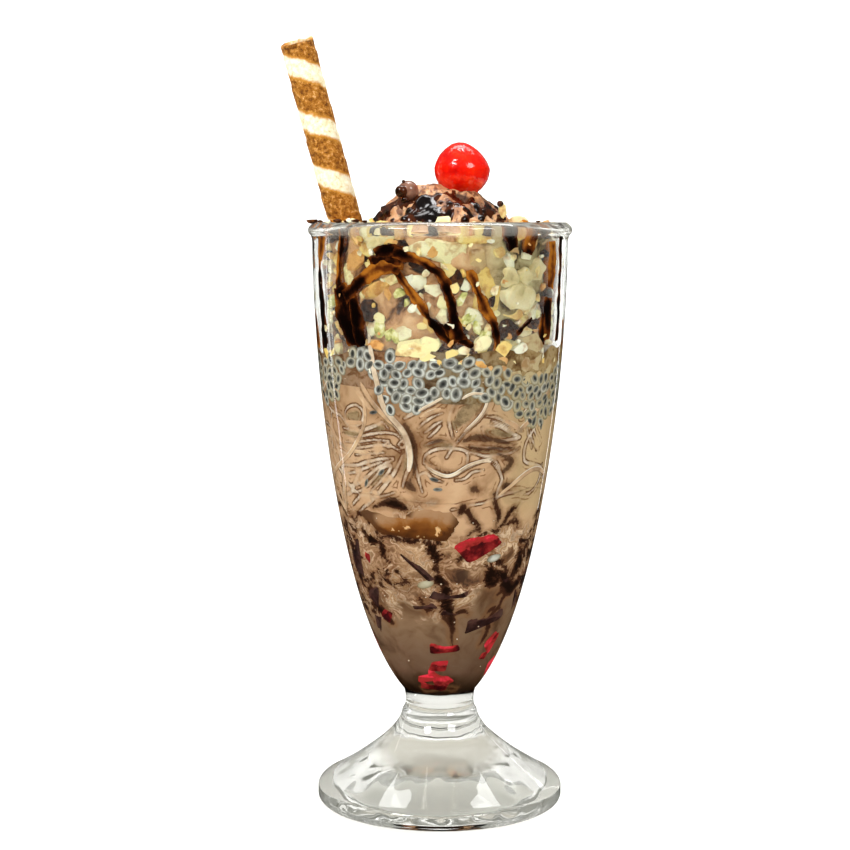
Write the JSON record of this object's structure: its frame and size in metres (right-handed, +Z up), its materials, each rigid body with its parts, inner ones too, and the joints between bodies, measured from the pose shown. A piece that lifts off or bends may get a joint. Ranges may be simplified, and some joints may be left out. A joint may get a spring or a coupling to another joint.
{
  "type": "chocolate falooda",
  "caption": "Layered chocolate falooda dessert drink in a footed soda glass, with ice cream, cherry and a rolled wafer.",
  "frame": {"origin": "under the middle of the whole drink's box, leaning wafer included, on the plane the glass stands on; the glass's own axis is 4.6 mm towards +X", "axes": "+Z up along the glass axis, -Y towards the viewer, the wafer roll leans towards -X"},
  "size_m": [0.0971, 0.088, 0.2574],
  "materials": {
    "clear_glass": "clear pressed glass",
    "chocolate_milk": "milk marbled with chocolate, wet",
    "milky_noodles": "starch noodles in beige milk, wet",
    "soaked_seeds": "grey jelly-coated basil seeds, wet",
    "nuts_and_syrup": "chopped pale nuts with dark chocolate syrup",
    "chocolate_ice_cream": "milk chocolate ice cream, softly rough",
    "candied_cherry": "glossy wrinkled red skin",
    "baked_wafer": "dry baked wafer with brown and cream spiral bands"
  },
  "bodies": {
    "root": {"glass": "clear_glass", "chocolate_milk": "chocolate_milk", "falooda_noodles": "milky_noodles", "basil_seeds": "soaked_seeds", "nut_bed": "nuts_and_syrup", "ice_cream": "chocolate_ice_cream", "cherry": "candied_cherry", "wafer_roll": "baked_wafer"}
  },
  "joints": []
}
